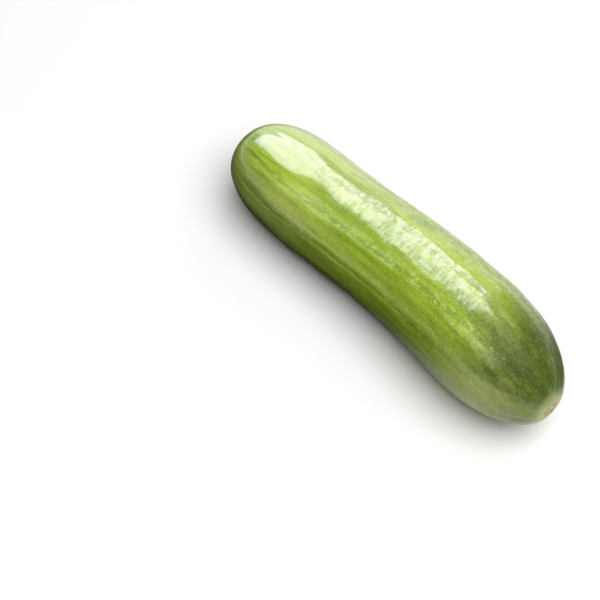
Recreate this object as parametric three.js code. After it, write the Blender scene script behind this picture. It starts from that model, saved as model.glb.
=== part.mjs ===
// A mini cucumber, whole and freshly picked, lying on its side on a flat surface.
//
// Millimetres, +Z up. +X runs along the fruit, from the blossom end to the stem end. The origin is
// on the surface, under the middle of the fruit's bounding box.
//
// The fruit grew as one piece, so it is one closed body. It is turned as a body of revolution with
// a blunt cap at each end, and then shaped as it grew: three soft lobes around it, one for each
// seed chamber, a sideways bow with a slight sway, and an underside pressed flat where it rests.

import * as THREE from 'three';

const LENGTH = 150;

// Each end is a superelliptic cap. A bluntness of 2 is an ellipse, and more is squarer. The skin
// puckers in around the scar at its tip, and the scar is a low button in the pucker's middle.
const BLOSSOM_END = {
  bodyRadius: 19.1,
  capLength: 36,
  bluntness: 2.7,
  puckerRadius: 4,
  puckerDepth: 0.6,
  scarRadius: 1.2,
  scarHeight: 0.3,
};
const STEM_END = {
  bodyRadius: 20.5,
  capLength: 37.3,
  bluntness: 2.1,
  puckerRadius: 6,
  puckerDepth: 1.1,
  scarRadius: 2.1,
  scarHeight: 0.9,
};

// Between the caps the body narrows by this much at its middle.
const WAIST = 0.45;

// The lobes around the fruit, and how far the first one is turned from the +Y side.
const LOBES = 3;
const LOBE_HEIGHT = 0.35;
const LOBE_TURN = THREE.MathUtils.degToRad(-12);

// The middle line bows towards +Y, most of all on the stem half, and sways a little along the way.
const BOW = 4.1;
const BOW_LEAN = 0.6;
const SWAY = 0.48;
const SWAY_LENGTH = 82.5;
const SWAY_START = THREE.MathUtils.degToRad(66);

// How far the underside is pressed flat.
const FLAT_DEPTH = 0.6;

// How finely the body is faceted. The rings on a cap crowd towards its tip.
const SIDES = 48;
const CAP_RINGS = 20;
const BODY_RINGS = 20;
const CROWDING = 1.3;

const BODY_START = BLOSSOM_END.capLength - LENGTH / 2;
const BODY_END = LENGTH / 2 - STEM_END.capLength;

// The radius of the body at a station, held at its end values over the caps.
function bodyRadius(x) {
  const along = THREE.MathUtils.clamp((x - BODY_START) / (BODY_END - BODY_START), 0, 1);
  const share = THREE.MathUtils.smoothstep(along, 0, 1);
  const taper = THREE.MathUtils.lerp(BLOSSOM_END.bodyRadius, STEM_END.bodyRadius, share);
  return taper - WAIST * Math.sin(Math.PI * along);
}

// How far the surface lies in from the plain cap, because of the pucker and the scar.
function puckerDepth(end, radius) {
  const inPucker = Math.max(0, 1 - (radius / end.puckerRadius) ** 2);
  const inScar = 1 - THREE.MathUtils.smoothstep(radius, end.scarRadius * 0.6, end.scarRadius * 1.4);
  return end.puckerDepth * inPucker ** 2 - end.scarHeight * inScar;
}

// A cap's outline from its tip to its widest ring, as depths in from the tip and radii.
function capOutline(end) {
  const outline = [];
  for (let ring = 0; ring <= CAP_RINGS; ring += 1) {
    const angle = (Math.PI / 2) * (ring / CAP_RINGS) ** CROWDING;
    const sine = Math.sin(angle);
    const cosine = ring === CAP_RINGS ? 0 : Math.cos(angle);
    const reach = (sine ** end.bluntness + cosine ** end.bluntness) ** (-1 / end.bluntness);
    const radius = end.bodyRadius * reach * sine;
    const depth = end.capLength * (1 - reach * cosine) + puckerDepth(end, radius);
    outline.push({ depth, radius });
  }
  return outline;
}

// The whole outline, from the blossom tip to the stem tip. Both tips are on the axis.
function fruitOutline() {
  const outline = [];
  for (const { depth, radius } of capOutline(BLOSSOM_END)) {
    outline.push(new THREE.Vector2(radius, depth - LENGTH / 2));
  }
  for (let ring = 1; ring < BODY_RINGS; ring += 1) {
    const x = THREE.MathUtils.lerp(BODY_START, BODY_END, ring / BODY_RINGS);
    outline.push(new THREE.Vector2(bodyRadius(x), x));
  }
  for (const { depth, radius } of capOutline(STEM_END).reverse()) {
    outline.push(new THREE.Vector2(radius, LENGTH / 2 - depth));
  }
  return outline;
}

// The sideways place of the middle line at a station. Both tips stay near the axis.
function middleLine(x) {
  const share = x / (LENGTH / 2);
  const bow = BOW * (1 - share ** 2) * (1 + BOW_LEAN * share);
  const sway = SWAY * Math.sin((2 * Math.PI * x) / SWAY_LENGTH + SWAY_START) * (1 - share ** 8);
  return bow + sway;
}

// Moves each point of the turned body to where it grew: out over the lobes, sideways with the
// middle line, and up so that the underside is level. What is below the surface is pressed flat.
function grow(geometry) {
  const position = geometry.attributes.position;
  for (let index = 0; index < position.count; index += 1) {
    const x = position.getX(index);
    const turnedRadius = Math.hypot(position.getY(index), position.getZ(index));
    const angle = Math.atan2(position.getZ(index), position.getY(index));
    const fullness = (turnedRadius / bodyRadius(x)) ** 2;
    const radius = turnedRadius + LOBE_HEIGHT * fullness * Math.cos(LOBES * (angle - LOBE_TURN));
    const y = middleLine(x) + radius * Math.cos(angle);
    const z = bodyRadius(x) - FLAT_DEPTH + radius * Math.sin(angle);
    position.setXYZ(index, x, y, Math.max(z, 0));
  }
}

function makeCucumber() {
  const geometry = new THREE.LatheGeometry(fruitOutline(), SIDES);
  geometry.rotateZ(-Math.PI / 2);
  grow(geometry);
  geometry.computeBoundingBox();
  const middle = geometry.boundingBox.getCenter(new THREE.Vector3());
  geometry.translate(-middle.x, -middle.y, 0);
  geometry.computeVertexNormals();
  const skin = new THREE.MeshStandardMaterial({ color: 0x7d9c3a, roughness: 0.4, metalness: 0 });
  const cucumber = new THREE.Mesh(geometry, skin);
  cucumber.name = 'cucumber';
  return cucumber;
}

const part = new THREE.Group();
part.add(makeCucumber());

export default part;
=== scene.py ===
import math

import bmesh
import bpy
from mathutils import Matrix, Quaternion, Vector, noise


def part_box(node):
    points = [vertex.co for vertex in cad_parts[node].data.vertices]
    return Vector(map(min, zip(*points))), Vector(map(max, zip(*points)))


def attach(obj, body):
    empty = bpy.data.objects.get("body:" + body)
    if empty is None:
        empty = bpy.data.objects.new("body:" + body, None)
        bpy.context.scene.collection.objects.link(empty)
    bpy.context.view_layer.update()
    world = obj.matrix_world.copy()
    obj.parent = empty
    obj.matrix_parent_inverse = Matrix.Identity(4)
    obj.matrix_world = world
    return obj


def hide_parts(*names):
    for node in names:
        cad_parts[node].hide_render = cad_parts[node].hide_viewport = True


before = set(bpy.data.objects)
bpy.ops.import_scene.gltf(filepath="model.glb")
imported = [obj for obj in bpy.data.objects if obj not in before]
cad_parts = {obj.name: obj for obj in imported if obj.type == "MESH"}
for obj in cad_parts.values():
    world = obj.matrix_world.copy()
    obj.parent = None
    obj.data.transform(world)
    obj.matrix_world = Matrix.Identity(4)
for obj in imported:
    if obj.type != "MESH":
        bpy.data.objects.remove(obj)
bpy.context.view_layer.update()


# ---- The cucumber ----------------------------------------------------------------------------
# A whole mini cucumber, grown as one piece: a taut waxy skin over firm flesh. It is turned from
# one outline, then shaped as it grew, with three lobes, ten shallow veins, a bow, and a puckered
# scar at each end where the stem and the flower broke off. It lies on its pressed underside.

# Sizes are in metres. The blossom end points to -X and the stem end to +X.
FRUIT_LENGTH = 0.150
WAIST = 0.00045
BLOSSOM_END = {
    "body_radius": 0.0191, "cap_length": 0.0360, "bluntness": 2.7,
    "pucker_radius": 0.0040, "pucker_depth": 0.0006,
    "scar_radius": 0.0012, "scar_height": 0.0003,
}
STEM_END = {
    "body_radius": 0.0205, "cap_length": 0.0373, "bluntness": 2.1,
    "pucker_radius": 0.0060, "pucker_depth": 0.0011,
    "scar_radius": 0.0021, "scar_height": 0.0009,
}
BODY_START = BLOSSOM_END["cap_length"] - FRUIT_LENGTH / 2
BODY_END = FRUIT_LENGTH / 2 - STEM_END["cap_length"]
CAP_RINGS = 110
BODY_RINGS = 180
RING_CROWDING = 1.15
SIDES = 240
SCAR_EDGE_START = 0.7
SCAR_EDGE_END = 1.3
SAME_POINT = 1e-6


def smooth_step(value, low=0.0, high=1.0):
    share = min(1.0, max(0.0, (value - low) / (high - low)))
    return share * share * (3 - 2 * share)


def body_radius(x):
    along = min(1.0, max(0.0, (x - BODY_START) / (BODY_END - BODY_START)))
    taper = STEM_END["body_radius"] - BLOSSOM_END["body_radius"]
    waist = WAIST * math.sin(math.pi * along)
    return BLOSSOM_END["body_radius"] + taper * smooth_step(along) - waist


def pucker(end, radius):
    """How far the skin lies in from the plain cap, around the scar and on it."""
    hollow = max(0.0, 1 - (radius / end["pucker_radius"]) ** 2) ** 2
    scar = end["scar_radius"]
    button = 1 - smooth_step(radius, scar * SCAR_EDGE_START, scar * SCAR_EDGE_END)
    return end["pucker_depth"] * hollow - end["scar_height"] * button


def cap_outline(end):
    """Depths in from the tip and radii, from the tip to the widest ring."""
    outline = []
    for ring in range(CAP_RINGS + 1):
        angle = math.pi / 2 * (ring / CAP_RINGS) ** RING_CROWDING
        sine = math.sin(angle)
        cosine = max(0.0, math.cos(angle))
        reach = (sine ** end["bluntness"] + cosine ** end["bluntness"]) ** (-1 / end["bluntness"])
        radius = end["body_radius"] * reach * sine
        outline.append((end["cap_length"] * (1 - reach * cosine) + pucker(end, radius), radius))
    return outline


def fruit_outline():
    half = FRUIT_LENGTH / 2
    outline = [(depth - half, radius) for depth, radius in cap_outline(BLOSSOM_END)]
    for ring in range(1, BODY_RINGS):
        x = BODY_START + (BODY_END - BODY_START) * ring / BODY_RINGS
        outline.append((x, body_radius(x)))
    outline += [(half - depth, radius) for depth, radius in reversed(cap_outline(STEM_END))]
    return outline


def turned_fruit():
    """The outline spun once round the long axis. Each point keeps its way along the skin."""
    fruit = bmesh.new()
    grain = fruit.verts.layers.float_vector.new("grain")
    chain = []
    way = 0.0
    last = None
    for x, radius in fruit_outline():
        if last is not None:
            way += math.hypot(x - last[0], radius - last[1])
        last = (x, radius)
        point = fruit.verts.new((x, radius, 0.0))
        point[grain] = Vector((way, 0.0, 0.0))
        chain.append(point)
    edges = [fruit.edges.new(pair) for pair in zip(chain, chain[1:])]
    bmesh.ops.spin(
        fruit, geom=chain + edges, cent=(0, 0, 0), axis=(1, 0, 0), dvec=(0, 0, 0),
        angle=2 * math.pi, steps=SIDES, use_merge=True, use_normal_flip=False,
        use_duplicate=False,
    )
    bmesh.ops.remove_doubles(fruit, verts=fruit.verts, dist=SAME_POINT)
    bmesh.ops.recalc_face_normals(fruit, faces=fruit.faces)
    return fruit, grain, way


LOBES = 3
LOBE_HEIGHT = 0.00035
LOBE_TURN = math.radians(-12)
VEINS = 10
FIRST_VEIN = math.radians(121)
VEIN_DEPTH = 0.00017
VEIN_SHARPNESS = 9
VEIN_DRIFT = 1.1
VEIN_DRIFT_LENGTH = 0.035
VEIN_DRIFT_START = 0.030
VEIN_MEAN_DEPTH = 0.55
VEIN_DEPTH_CHANGE = 0.9
VEIN_CHANGE_LENGTH = 0.020
VEIN_CHANGES_AROUND = 3
FLUTE_DEPTH = 0.00018
FLUTES_AROUND = 2.6
FLUTE_LENGTH = 0.060
DENT_DEPTH = 0.00016
DENT_SIZE = 0.009
GATHERS = 11
GATHER_DEPTH = 0.00030
GATHER_START = (0.002, 0.009)
GATHER_END = (0.010, 0.034)
GATHER_DRIFT = 1.5
CRINKLE_DEPTH = 0.000030
CRINKLE_LENGTH = 0.0026
CRINKLE_WIDTH = 0.0090
CRINKLE_BEND = 0.9
CRINKLE_START = (0.040, 0.085)
CRINKLE_END = (0.0, 0.030)
CRINKLE_SEED = 5
RING_SCALE = 0.020


def vein_wave(way, angle):
    """1 along the middle of a vein and -1 halfway between two."""
    drift_place = Vector((way / VEIN_DRIFT_LENGTH, 3.1, math.cos(angle)))
    drift = VEIN_DRIFT * noise.noise(drift_place) * smooth_step(way, 0.0, VEIN_DRIFT_START)
    return math.cos(VEINS * (angle - FIRST_VEIN) + drift)


def relief(way, skin_length, angle, fullness):
    """How far the grown skin stands out from the turned body."""
    from_stem = skin_length - way
    ring = Vector((0.0, math.cos(angle), math.sin(angle)))
    lobes = LOBE_HEIGHT * fullness * math.cos(LOBES * (angle - LOBE_TURN))

    deep_place = Vector((way / VEIN_CHANGE_LENGTH, 0.0, 8.0)) + ring * VEIN_CHANGES_AROUND
    deep = VEIN_MEAN_DEPTH + VEIN_DEPTH_CHANGE * noise.noise(deep_place)
    vein = ((1 + vein_wave(way, angle)) / 2) ** VEIN_SHARPNESS
    veins = -VEIN_DEPTH * fullness * deep * vein

    flute_place = Vector((way / FLUTE_LENGTH, 0.0, 0.0)) + ring * FLUTES_AROUND
    flutes = FLUTE_DEPTH * fullness * noise.noise(flute_place)
    dent_place = Vector((way, 0.0, 0.0)) / DENT_SIZE + ring * (RING_SCALE / DENT_SIZE)
    dents = DENT_DEPTH * fullness * noise.noise(dent_place)

    near_stem = smooth_step(from_stem, *GATHER_START) * (1 - smooth_step(from_stem, *GATHER_END))
    drift = GATHER_DRIFT * noise.noise(ring * 2 + Vector((7.0, 0.0, 0.0)))
    gathers = GATHER_DEPTH * near_stem * (math.cos(GATHERS * angle + drift) - 1) / 2

    rough_skin = smooth_step(way, *CRINKLE_START) * smooth_step(from_stem, *CRINKLE_END)
    crinkle_place = Vector((way / CRINKLE_LENGTH, 0.0, 0.0)) + ring * (RING_SCALE / CRINKLE_WIDTH)
    crinkle_place += CRINKLE_BEND * noise.noise_vector(crinkle_place)
    crinkles = CRINKLE_DEPTH * rough_skin * fullness * noise.noise(crinkle_place)
    return lobes + veins + flutes + dents + gathers + crinkles


SCAR_ROUGHNESS = 0.00016
SCAR_FADE = (0.0022, 0.0036)
TEAR_SIZE = 0.0007
SCAR_PIT_DEPTH = 0.00030
SCAR_PIT_EDGE = (0.00028, 0.00112)
WORN_RIM_DEPTH = 0.00035
WORN_RIM_START = (0.0010, 0.0022)


def scar_hollow(from_stem, angle):
    """How far the broken stem scar is torn in, past the turned button."""
    ring = Vector((0.0, math.cos(angle), math.sin(angle)))
    on_scar = 1 - smooth_step(from_stem, *SCAR_FADE)
    tear = noise.noise(ring * (from_stem / TEAR_SIZE) + Vector((4.0, 0.0, 0.0)))
    torn = SCAR_ROUGHNESS * (1 + 2 * tear)
    pit = SCAR_PIT_DEPTH * (1 - smooth_step(from_stem, *SCAR_PIT_EDGE))
    worn = max(0.0, noise.noise(ring * 2 + Vector((9.0, 0.0, 0.0))))
    worn_rim = WORN_RIM_DEPTH * worn * smooth_step(from_stem, *WORN_RIM_START)
    return on_scar * (torn + pit + worn_rim)


BOW = 0.0041
BOW_LEAN = 0.6
SWAY = 0.00048
SWAY_LENGTH = 0.0825
SWAY_START = math.radians(66)
SWAY_HOLD = 8
FLAT_DEPTH = 0.0006


def middle_line(x):
    """How far the bowed middle of the fruit lies to the side at x."""
    share = x / (FRUIT_LENGTH / 2)
    bow = BOW * (1 - share ** 2) * (1 + BOW_LEAN * share)
    wave = math.sin(2 * math.pi * x / SWAY_LENGTH + SWAY_START)
    sway = SWAY * wave * (1 - abs(share) ** SWAY_HOLD)
    return bow + sway


def grown_fruit():
    """The turned body with its relief, bow and pressed underside. The grain layer then holds the
    way along the skin and the place round it, so that a pattern on it runs from tip to tip."""
    fruit, grain, skin_length = turned_fruit()
    vein = fruit.verts.layers.float.new("vein")
    for point in fruit.verts:
        x, y, z = point.co
        turned_radius = math.hypot(y, z)
        angle = math.atan2(z, y)
        way = point[grain][0]
        fullness = (turned_radius / body_radius(x)) ** 2
        radius = turned_radius + relief(way, skin_length, angle, fullness)
        height = body_radius(x) - FLAT_DEPTH + radius * math.sin(angle)
        x -= scar_hollow(skin_length - way, angle)
        point.co = (x, middle_line(x) + radius * math.cos(angle), max(height, 0.0))
        point[grain] = (way, RING_SCALE * math.cos(angle), RING_SCALE * math.sin(angle))
        point[vein] = vein_wave(way, angle)
    return fruit, skin_length


def settled(fruit):
    """Puts the fruit where the solid one lies: over the same middle, on the same surface."""
    low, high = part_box("cucumber")
    xs = [point.co.x for point in fruit.verts]
    ys = [point.co.y for point in fruit.verts]
    middle = Vector(((min(xs) + max(xs)) / 2, (min(ys) + max(ys)) / 2, 0.0))
    place = Vector(((low.x + high.x) / 2, (low.y + high.y) / 2, low.z))
    bmesh.ops.translate(fruit, verts=fruit.verts, vec=place - middle)


noise.seed_set(CRINKLE_SEED)
fruit, skin_length = grown_fruit()
settled(fruit)
for face in fruit.faces:
    face.smooth = True
skin_mesh = bpy.data.meshes.new("cucumber_skin")
fruit.to_mesh(skin_mesh)
fruit.free()
cucumber = bpy.data.objects.new("cucumber_skin", skin_mesh)
bpy.context.scene.collection.objects.link(cucumber)


class Nodes:
    """Adds nodes to one shader tree and joins them up."""

    def __init__(self, tree):
        self.tree = tree

    def put(self, value, socket):
        if isinstance(value, bpy.types.NodeSocket):
            self.tree.links.new(value, socket)
        else:
            socket.default_value = value

    def layer(self, name, output):
        made = self.tree.nodes.new("ShaderNodeAttribute")
        made.attribute_type = "GEOMETRY"
        made.attribute_name = name
        return made.outputs[output]

    def split(self, vector):
        made = self.tree.nodes.new("ShaderNodeSeparateXYZ")
        self.put(vector, made.inputs[0])
        return made.outputs["X"], made.outputs["Y"], made.outputs["Z"]

    def math(self, operation, first, second=0.0, third=0.0):
        made = self.tree.nodes.new("ShaderNodeMath")
        made.operation = operation
        for value, socket in zip((first, second, third), made.inputs):
            self.put(value, socket)
        return made.outputs[0]

    def ramp(self, value, low, high, at_low=0.0, at_high=1.0):
        made = self.tree.nodes.new("ShaderNodeMapRange")
        made.interpolation_type = "SMOOTHSTEP"
        for entry, socket in zip((value, low, high, at_low, at_high), made.inputs):
            self.put(entry, socket)
        return made.outputs[0]

    def cloud(self, place, grain, shift=(0, 0, 0), detail=3.0, roughness=0.5, distortion=0.0):
        """Soft noise. The grain is its patches to a metre, along the fruit and both ways across."""
        spread = self.tree.nodes.new("ShaderNodeMapping")
        self.put(place, spread.inputs["Vector"])
        spread.inputs["Scale"].default_value = grain
        spread.inputs["Location"].default_value = shift
        made = self.tree.nodes.new("ShaderNodeTexNoise")
        self.put(spread.outputs[0], made.inputs["Vector"])
        made.inputs["Scale"].default_value = 1.0
        made.inputs["Detail"].default_value = detail
        made.inputs["Roughness"].default_value = roughness
        made.inputs["Distortion"].default_value = distortion
        return made.outputs["Fac"]

    def tint(self, share, under, over):
        made = self.tree.nodes.new("ShaderNodeMix")
        made.data_type = "RGBA"
        self.put(share, made.inputs["Factor"])
        for value, socket in ((under, made.inputs["A"]), (over, made.inputs["B"])):
            self.put(value if isinstance(value, bpy.types.NodeSocket) else (*value, 1.0), socket)
        return made.outputs["Result"]


def new_material(name):
    """A material, the maker of its nodes, and its shader."""
    material = bpy.data.materials.new(name)
    material.use_nodes = True
    return material, Nodes(material.node_tree), material.node_tree.nodes["Principled BSDF"]


BLOSSOM_GREEN = (0.37, 0.59, 0.004)
BODY_GREEN = (0.270, 0.405, 0.006)
# Deep green for the deep streaks, and for the painted shade in the vein furrows.
DEEP_STREAK_AND_SHADE_GREEN = (0.125, 0.245, 0.002)
PALE_STREAK = (0.47, 0.59, 0.055)
# Painted light: the paler flank green stands in for light and sheen on that side.
PAINTED_LIGHT_SIDE_GREEN = (0.50, 0.60, 0.06)
# Painted reflection: the pale band green stands in for a dull reflection on that flank.
PAINTED_REFLECTION_BAND_GREEN = (0.56, 0.66, 0.13)
STEM_GREEN = (0.032, 0.050, 0.002)
STEM_LEAF_GREEN = (0.060, 0.098, 0.002)
STEM_FLECK = (0.22, 0.28, 0.05)
# The belly greens: the paler one is partly a painted reflection; the one near the stem tip is painted
# shade.
BELLY_AND_REFLECTION_GREEN = (0.37, 0.43, 0.085)
BELLY_STEM_SHADE_GREEN = (0.165, 0.215, 0.032)
VEIN_FLECK = (0.62, 0.70, 0.20)
SCAR_HALO = (0.50, 0.52, 0.18)
CORK = (0.66, 0.56, 0.32)
CORK_SHADE = (0.27, 0.20, 0.085)

# The sides of the fruit, as turns from +Y up to +Z, and how far each one's edge wanders.
# The paler flank here is painted light.
PAINTED_LIGHT_SIDE, PAINTED_LIGHT_SIDE_WANDER = math.radians(20), 1.0
# The pale band here is a painted reflection.
PAINTED_REFLECTION_BAND, PAINTED_REFLECTION_BAND_WANDER = math.radians(152), 0.25
SUN_SIDE, SUN_SIDE_WANDER = math.radians(75), 1.0

# A fade is where it starts and ends, and the shares there where they aren't 0 and 1. These run
# along the skin, in metres from the blossom tip.
FADE_WANDER = 0.034
BLOSSOM_FADE = (0.010, 0.052)
# Where the band of painted reflection fades out along the fruit.
PAINTED_REFLECTION_BAND_FADE = (0.080, 0.045)
STEM_FADE = (0.110, 0.151, 0.0, 0.94)
MOTTLE_FADE = (0.060, 0.150, 0.55, 1.0)
VEIN_FADE = (0.150, 0.100, 0.15, 1.0)
BLOSSOM_STRIPE_FADE = (0.024, 0.004)
BLOSSOM_SCAR_FADE = (0.0022, 0.0015, 0.0, 0.9)
CRINKLE_FADE = (0.045, 0.085, 0.0, 0.35)
ROUGHNESS_FADE = (0.090, 0.155, 0.24, 0.32)
WAX_FADE = (0.100, 0.160, 1.0, 0.80)
THIN_WAX_FADE = (0.030, 0.080, 0.25, 0.80)

# These run in metres from the stem tip.
# Where the belly's painted shade near the stem tip fades out.
BELLY_STEM_SHADE_FADE = (0.012, 0.034)
HALO_FADE = (0.0115, 0.0050, 0.0, 0.70)
CORK_FADE = (0.0048, 0.0040, 0.0, 0.95)
CORK_PIT_FADE = (0.0012, 0.0005, 0.0, 0.6)
CORK_BUMP_FADE = (0.0045, 0.0030, 0.0, 1.5)
SCAR_WAX_FADE = (0.003, 0.006)

# These run from one side of the fruit to the other.
# Across the flank of painted light.
PAINTED_LIGHT_SIDE_FADE = (0.45, 0.95, 0.0, 0.80)
# Across the band of painted reflection.
PAINTED_REFLECTION_BAND_SIDE_FADE = (0.82, 0.98, 0.0, 0.75)
SUN_SIDE_FADE = (0.22, 0.76)

# These run up the levels of a pattern.
PATCH_FADE = (0.46, 0.64)
LIGHT_SPOT_FADE = (0.50, 0.66, 0.0, 0.40)
DARK_SPOT_FADE = (0.50, 0.34, 0.0, 0.55)
VEIN_SHADE_FADE = (0.86, 0.99, 0.0, 0.45)
FLECK_FADE = (0.53, 0.64)
FLECK_VEIN_FADE = (0.60, 0.95, 0.0, 0.60)
CORK_GRAIN_FADE = (0.40, 0.62)
BLOSSOM_STRIPE_VEIN_FADE = (-0.2, 0.9, 0.15, 0.5)
THIN_WAX_CRINKLE_FADE = (0.58, 0.40)

SKIN_IOR = 1.5
SPOT_ROUGHNESS = 0.10
WAX_ROUGHNESS = 0.10
WAX_IOR = 1.6
BUMP_STRENGTH = 0.5
BUMP_DEPTH = 0.0002


def cucumber_skin_material(skin_length):
    material, n, shader = new_material("cucumber_skin")
    place = n.layer("grain", "Vector")
    vein = n.layer("vein", "Fac")
    way, across, up = n.split(place)
    from_stem = n.math("SUBTRACT", skin_length, way)
    wander = n.cloud(place, (45, 130, 130), detail=5, roughness=0.6)

    def facing(side, edge_wander):
        """1 where the skin faces that side and -1 where it faces away, with a wandering edge."""
        faced = n.math("MULTIPLY", across, math.cos(side) / RING_SCALE)
        faced = n.math("MULTIPLY_ADD", up, math.sin(side) / RING_SCALE, faced)
        return n.math("MULTIPLY_ADD", n.math("SUBTRACT", wander, 0.5), edge_wander, faced)

    def streaked(colour, pattern, pale_fade, deep_fade):
        """Pale and deep streaks over a colour."""
        colour = n.tint(n.ramp(pattern, *pale_fade), colour, PALE_STREAK)
        return n.tint(n.ramp(pattern, *deep_fade), colour, DEEP_STREAK_AND_SHADE_GREEN)

    # Broad colour: bright at the blossom end and mid green along the body.
    wandering_way = n.math("MULTIPLY_ADD", wander, FADE_WANDER, n.math("SUBTRACT", way, FADE_WANDER / 2))
    colour = n.tint(n.ramp(wandering_way, *BLOSSOM_FADE), BLOSSOM_GREEN, BODY_GREEN)

    # One flank of the body is paler: painted light, standing in for the light and sheen on that side.
    painted_light_side = n.ramp(facing(PAINTED_LIGHT_SIDE, PAINTED_LIGHT_SIDE_WANDER), *PAINTED_LIGHT_SIDE_FADE)
    colour = n.tint(painted_light_side, colour, PAINTED_LIGHT_SIDE_GREEN)

    # A pale band runs up the other flank from the blossom end: a painted reflection.
    painted_reflection_band = n.ramp(facing(PAINTED_REFLECTION_BAND, PAINTED_REFLECTION_BAND_WANDER), *PAINTED_REFLECTION_BAND_SIDE_FADE)
    painted_reflection_band = n.math("MULTIPLY", painted_reflection_band, n.ramp(wandering_way, *PAINTED_REFLECTION_BAND_FADE))
    colour = n.tint(painted_reflection_band, colour, PAINTED_REFLECTION_BAND_GREEN)

    # Broad bands, stripes and fine streaks along the fruit, pale and deep.
    band = n.cloud(place, (9, 120, 120), (3.0, 0, 0), detail=2)
    stripe = n.cloud(place, (26, 240, 240), (0.9, 0, 0), detail=3, roughness=0.55)
    streak = n.cloud(place, (60, 420, 420), detail=5, roughness=0.62)
    colour = streaked(colour, band, (0.50, 0.62, 0.0, 0.35), (0.49, 0.37, 0.0, 0.45))
    colour = streaked(colour, stripe, (0.51, 0.62, 0.0, 0.40), (0.48, 0.36, 0.0, 0.30))
    colour = streaked(colour, streak, (0.51, 0.66, 0.0, 0.50), (0.49, 0.34, 0.0, 0.50))

    # The stem end is dark where it faced the sun. The belly is paler, partly its own colour where it lay
    # in the shade and partly a painted reflection, and near the stem tip it is painted darker, as shade.
    belly_with_painted_light = n.tint(n.ramp(from_stem, *BELLY_STEM_SHADE_FADE), BELLY_STEM_SHADE_GREEN, BELLY_AND_REFLECTION_GREEN)
    patch = n.cloud(place, (190, 280, 280), (0.6, 0, 0), detail=4, roughness=0.65)
    sunned = n.tint(n.ramp(patch, *PATCH_FADE), STEM_GREEN, STEM_LEAF_GREEN)
    toward_sun = facing(SUN_SIDE, SUN_SIDE_WANDER)
    toward_sun = n.math("MULTIPLY_ADD", n.math("SUBTRACT", patch, 0.5), 0.7, toward_sun)
    stem_colour = n.tint(n.ramp(toward_sun, *SUN_SIDE_FADE), belly_with_painted_light, sunned)
    stem_share = n.ramp(wandering_way, *STEM_FADE)
    colour = n.tint(stem_share, colour, stem_colour)

    # Fine mottling all over, strongest at the stem end.
    mottle = n.cloud(place, (1300, 1500, 1500), detail=4, roughness=0.7)
    mottle_share = n.ramp(way, *MOTTLE_FADE)
    light_spots = n.math("MULTIPLY", n.ramp(mottle, *LIGHT_SPOT_FADE), mottle_share)
    dark_spots = n.math("MULTIPLY", n.ramp(mottle, *DARK_SPOT_FADE), mottle_share)
    colour = n.tint(light_spots, colour, n.tint(stem_share, PALE_STREAK, STEM_FLECK))
    colour = n.tint(dark_spots, colour, STEM_GREEN)

    # Each of the ten veins is a broken line of small pale flecks in a furrow that is painted darker,
    # as shade.
    fleck = n.cloud(place, (300, 900, 900), (0.37, 0, 0), detail=3, roughness=0.6)
    vein_share = n.ramp(way, *VEIN_FADE)
    furrow_shade_share = n.math("MULTIPLY", n.ramp(vein, *VEIN_SHADE_FADE), vein_share)
    colour = n.tint(furrow_shade_share, colour, DEEP_STREAK_AND_SHADE_GREEN)
    fleck_share = n.math("MULTIPLY", n.ramp(fleck, *FLECK_FADE), n.ramp(vein, *FLECK_VEIN_FADE))
    colour = n.tint(n.math("MULTIPLY", fleck_share, vein_share), colour, VEIN_FLECK)

    # The stem scar is torn cork with a darker pit, in a pale halo.
    ragged = n.math("MULTIPLY_ADD", streak, 0.0016, n.math("MULTIPLY_ADD", mottle, 0.0012, from_stem))
    colour = n.tint(n.ramp(ragged, *HALO_FADE), colour, SCAR_HALO)
    cork_grain = n.cloud(place, (2200, 260, 260), detail=3, roughness=0.7)
    cork = n.tint(n.ramp(cork_grain, *CORK_GRAIN_FADE), CORK_SHADE, CORK)
    cork = n.tint(n.ramp(from_stem, *CORK_PIT_FADE), cork, CORK_SHADE)
    colour = n.tint(n.ramp(ragged, *CORK_FADE), colour, cork)

    # Pale stripes run in to the small corky point of the blossom end.
    stripe_share = n.ramp(vein, *BLOSSOM_STRIPE_VEIN_FADE)
    stripe_share = n.math("MULTIPLY", stripe_share, n.ramp(way, *BLOSSOM_STRIPE_FADE))
    colour = n.tint(stripe_share, colour, VEIN_FLECK)
    ragged_way = n.math("MULTIPLY_ADD", mottle, 0.0010, way)
    colour = n.tint(n.ramp(ragged_way, *BLOSSOM_SCAR_FADE), colour, cork)
    n.put(colour, shader.inputs["Base Color"])

    # A coat of wax, patchy along the crinkles and rubbed away on the stem scar.
    crinkle = n.cloud(place, (620, 230, 230), (0, 0.4, 0), 2.5, 0.55, 0.8)
    roughness = n.math("MULTIPLY_ADD", mottle, SPOT_ROUGHNESS, n.ramp(way, *ROUGHNESS_FADE))
    n.put(roughness, shader.inputs["Roughness"])
    shader.inputs["IOR"].default_value = SKIN_IOR
    wax = n.math("MULTIPLY", n.ramp(way, *WAX_FADE), n.ramp(from_stem, *SCAR_WAX_FADE))
    thin_wax = n.ramp(crinkle, *THIN_WAX_CRINKLE_FADE)
    thin_wax = n.math("MULTIPLY", thin_wax, n.ramp(way, *THIN_WAX_FADE))
    wax = n.math("MULTIPLY", wax, n.math("SUBTRACT", 1.0, thin_wax))
    n.put(wax, shader.inputs["Coat Weight"])
    shader.inputs["Coat Roughness"].default_value = WAX_ROUGHNESS
    shader.inputs["Coat IOR"].default_value = WAX_IOR

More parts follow.
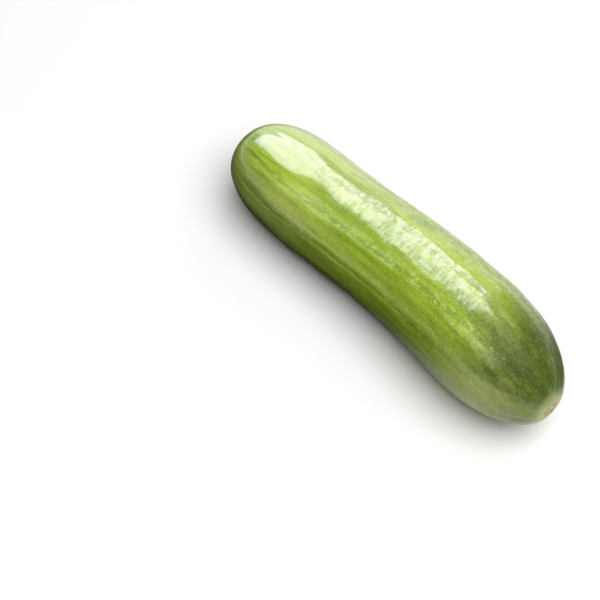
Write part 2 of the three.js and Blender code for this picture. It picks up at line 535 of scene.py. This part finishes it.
    # Leathery micro relief, fine lengthwise creases, and crosswise crinkles on the stem half.
    leather = n.cloud(place, (1000, 900, 900), detail=2)
    height = n.math("MULTIPLY_ADD", streak, 0.4, n.math("MULTIPLY", leather, 0.4))
    height = n.math("MULTIPLY_ADD", crinkle, n.ramp(way, *CRINKLE_FADE), height)
    height = n.math("MULTIPLY_ADD", cork_grain, n.ramp(from_stem, *CORK_BUMP_FADE), height)
    bump = n.tree.nodes.new("ShaderNodeBump")
    bump.inputs["Strength"].default_value = BUMP_STRENGTH
    bump.inputs["Distance"].default_value = BUMP_DEPTH
    n.put(height, bump.inputs["Height"])
    n.put(bump.outputs["Normal"], shader.inputs["Normal"])
    return material


skin_mesh.materials.append(cucumber_skin_material(skin_length))
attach(cucumber, "root")
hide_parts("cucumber")


# ---- The studio ------------------------------------------------------------------------------
# A plain pale table in a dim room. A large window and a low one make the gloss on the skin, with
# a reflector on the near side. A ceiling light and a back fill light the colours.

VIEW_AZIMUTH = math.radians(47.35)
FLOOR_HALF = 4.0
FLOOR_ROUGHNESS = 0.8
FLOOR_SHEEN = 0.1
FLOOR_TONE = 0.88
GLOSS_TONE = 0.70
PAINTED_SHADE_TONE = 0.03
# Each spot of painted shade: its middle, and how far from it the floor is dark and is plain again.
PAINTED_SHADE_SPOTS = (
    ((-0.040, -0.055, 0.0), 0.045, 0.100),
    ((-0.150, -0.045, 0.0), 0.065, 0.130),
    ((0.090, 0.072, 0.0), 0.025, 0.060),
)
GLARE_FADE = (0.07, 0.22, 0.0, 0.8)
HAZE_FADE = (0.30, 0.90)
BACKDROP = 0.95
ROOM_LIGHT = 0.07
HORIZON_GLOW = 0.30
GLOW_TOP = 0.5

floor_mesh = bpy.data.meshes.new("floor")
floor_form = bmesh.new()
bmesh.ops.create_grid(floor_form, x_segments=1, y_segments=1, size=FLOOR_HALF)
floor_form.to_mesh(floor_mesh)
floor_form.free()
floor = bpy.data.objects.new("floor", floor_mesh)
bpy.context.scene.collection.objects.link(floor)


def measured(n, operation, place, other=(0, 0, 0)):
    """A distance, a length or a dot product of places, as one number."""
    made = n.tree.nodes.new("ShaderNodeVectorMath")
    made.operation = operation
    n.put(place, made.inputs[0])
    made.inputs[1].default_value = other
    return made.outputs["Value"]


def floor_paint():
    """Pale to the eye. In the fruit's own gloss it is darker, with painted shade where its neighbours
    would stand, and brighter behind the fruit, where it glows as a painted light. Far off it fades
    into the backdrop."""
    material, n, shader = new_material("floor_paint")
    light_path = n.tree.nodes.new("ShaderNodeLightPath")
    seen = light_path.outputs["Is Camera Ray"]
    in_gloss = light_path.outputs["Is Glossy Ray"]
    place = n.tree.nodes.new("ShaderNodeTexCoord").outputs["Object"]

    tone = GLOSS_TONE
    # Painted shade: the floor is darkened round each spot.
    for middle, shade_to, plain_from in PAINTED_SHADE_SPOTS:
        away = measured(n, "DISTANCE", place, middle)
        tone = n.math("MINIMUM", n.ramp(away, shade_to, plain_from, PAINTED_SHADE_TONE, GLOSS_TONE), tone)
    seen_tone = n.math("MULTIPLY_ADD", n.math("SUBTRACT", FLOOR_TONE, tone), seen, tone)
    n.put(seen_tone, shader.inputs["Base Color"])
    shader.inputs["Roughness"].default_value = FLOOR_ROUGHNESS
    shader.inputs["Specular IOR Level"].default_value = FLOOR_SHEEN

    away_from_viewer = (-math.sin(VIEW_AZIMUTH), math.cos(VIEW_AZIMUTH), 0.0)
    behind = measured(n, "DOT_PRODUCT", place, away_from_viewer)
    # A painted glow: the floor behind the fruit gives off light, seen only in the fruit's gloss.
    glare = n.math("MULTIPLY", n.ramp(behind, *GLARE_FADE), in_gloss)
    glare = n.math("MULTIPLY", glare, tone)
    shader.inputs["Emission Color"].default_value = (1, 1, 1, 1)
    n.put(glare, shader.inputs["Emission Strength"])

    haze = n.math("MULTIPLY", n.ramp(measured(n, "LENGTH", place), *HAZE_FADE), seen)
    backdrop = n.tree.nodes.new("ShaderNodeEmission")
    backdrop.inputs["Strength"].default_value = BACKDROP
    blend = n.tree.nodes.new("ShaderNodeMixShader")
    n.put(haze, blend.inputs["Fac"])
    n.put(shader.outputs["BSDF"], blend.inputs[1])
    n.put(backdrop.outputs["Emission"], blend.inputs[2])
    n.put(blend.outputs["Shader"], n.tree.nodes["Material Output"].inputs["Surface"])
    return material


floor_mesh.materials.append(floor_paint())

LIGHT_DISTANCE = 1.6


def from_viewer(azimuth, elevation):
    """A light's place. Azimuth 0 is straight away from the viewer, and 90 is to their right."""
    turn = VIEW_AZIMUTH - math.radians(azimuth)
    flat = math.cos(math.radians(elevation))
    return LIGHT_DISTANCE * Vector((
        -math.sin(turn) * flat,
        math.cos(turn) * flat,
        math.sin(math.radians(elevation)),
    ))


def softbox(name, azimuth, elevation, width, height, radiance, tint=(1, 1, 1), roll=0, lift=0):
    """A soft panel of light that faces the fruit, rolled in its own plane and then lifted in it."""
    light = bpy.data.lights.new(name, "AREA")
    light.shape = "RECTANGLE"
    light.color = tint
    light.size = width
    light.size_y = height
    light.energy = radiance * math.pi * width * height
    box = bpy.data.objects.new(name, light)
    box.location = from_viewer(azimuth, elevation)
    box.rotation_mode = "QUATERNION"
    facing = (-box.location).to_track_quat("-Z", "Y")
    box.rotation_quaternion = facing @ Quaternion((0, 0, 1), math.radians(roll))
    box.location += box.rotation_quaternion @ Vector((0.0, lift, 0.0))
    box.visible_camera = False
    bpy.context.scene.collection.objects.link(box)
    return box


window = softbox(
    "window_light", azimuth=-14, elevation=32, width=1.62, height=1.675, radiance=5.4,
    tint=(1.0, 0.92, 1.13), roll=-8, lift=0.4375,
)
low_window = softbox(
    "low_window", azimuth=3, elevation=9, width=1.75, height=0.85, radiance=1.25,
)
reflector = softbox(
    "side_reflector", azimuth=-124, elevation=50, width=1.2, height=0.9, radiance=1.8,
    tint=(0.95, 1.0, 0.75),
)
ceiling_light = softbox(
    "ceiling_light", azimuth=134, elevation=70, width=1.6, height=1.6, radiance=4.6,
)
back_fill = softbox(
    "back_fill", azimuth=47, elevation=35, width=1.6, height=1.2, radiance=1.0,
)
for gloss_light in (window, low_window, reflector):
    gloss_light.visible_diffuse = False
for colour_light in (ceiling_light, back_fill):
    colour_light.visible_glossy = False

world = bpy.data.worlds.new("dim_room")
bpy.context.scene.world = world
world.use_nodes = True
room = Nodes(world.node_tree)
ray = room.tree.nodes.new("ShaderNodeLightPath")
direction = room.tree.nodes.new("ShaderNodeTexCoord").outputs["Generated"]
upward = room.split(direction)[2]
glow = room.ramp(upward, 0.0, GLOW_TOP, HORIZON_GLOW, ROOM_LIGHT)
level = room.ramp(ray.outputs["Is Glossy Ray"], 0.0, 1.0, ROOM_LIGHT, glow)
level = room.ramp(ray.outputs["Is Camera Ray"], 0.0, 1.0, level, BACKDROP)
room_light = room.tree.nodes["Background"]
room_light.inputs["Color"].default_value = (1, 1, 1, 1)
room.put(level, room_light.inputs["Strength"])
bpy.context.scene.view_settings.view_transform = "Standard"


# ---- The camera ------------------------------------------------------------------------------
# A long lens looking down at the fruit, which lies right of and above the middle of the frame.

VIEW_ELEVATION = math.radians(58)
VIEW_DISTANCE = 0.5756
LENS = 100.0
SENSOR_WIDTH = 36.0
NEAREST_SEEN = 0.01
FARTHEST_SEEN = 50.0
AIM_HEIGHT = 0.020
FRUIT_RIGHT_OF_CENTRE = 0.03435
FRUIT_ABOVE_CENTRE = 0.01250

camera_data = bpy.data.cameras.new("camera")
camera_data.lens = LENS
camera_data.sensor_width = SENSOR_WIDTH
camera_data.clip_start = NEAREST_SEEN
camera_data.clip_end = FARTHEST_SEEN
camera = bpy.data.objects.new("camera", camera_data)
back = Vector((
    math.sin(VIEW_AZIMUTH) * math.cos(VIEW_ELEVATION),
    -math.cos(VIEW_AZIMUTH) * math.cos(VIEW_ELEVATION),
    math.sin(VIEW_ELEVATION),
))
camera_right = Vector((math.cos(VIEW_AZIMUTH), math.sin(VIEW_AZIMUTH), 0.0))
camera_up = back.cross(camera_right)
camera.location = (
    Vector((0, 0, AIM_HEIGHT)) + back * VIEW_DISTANCE
    - camera_right * FRUIT_RIGHT_OF_CENTRE - camera_up * FRUIT_ABOVE_CENTRE
)
camera.rotation_mode = "QUATERNION"
camera.rotation_quaternion = (-back).to_track_quat("-Z", "Y")
bpy.context.scene.collection.objects.link(camera)
bpy.context.scene.camera = camera
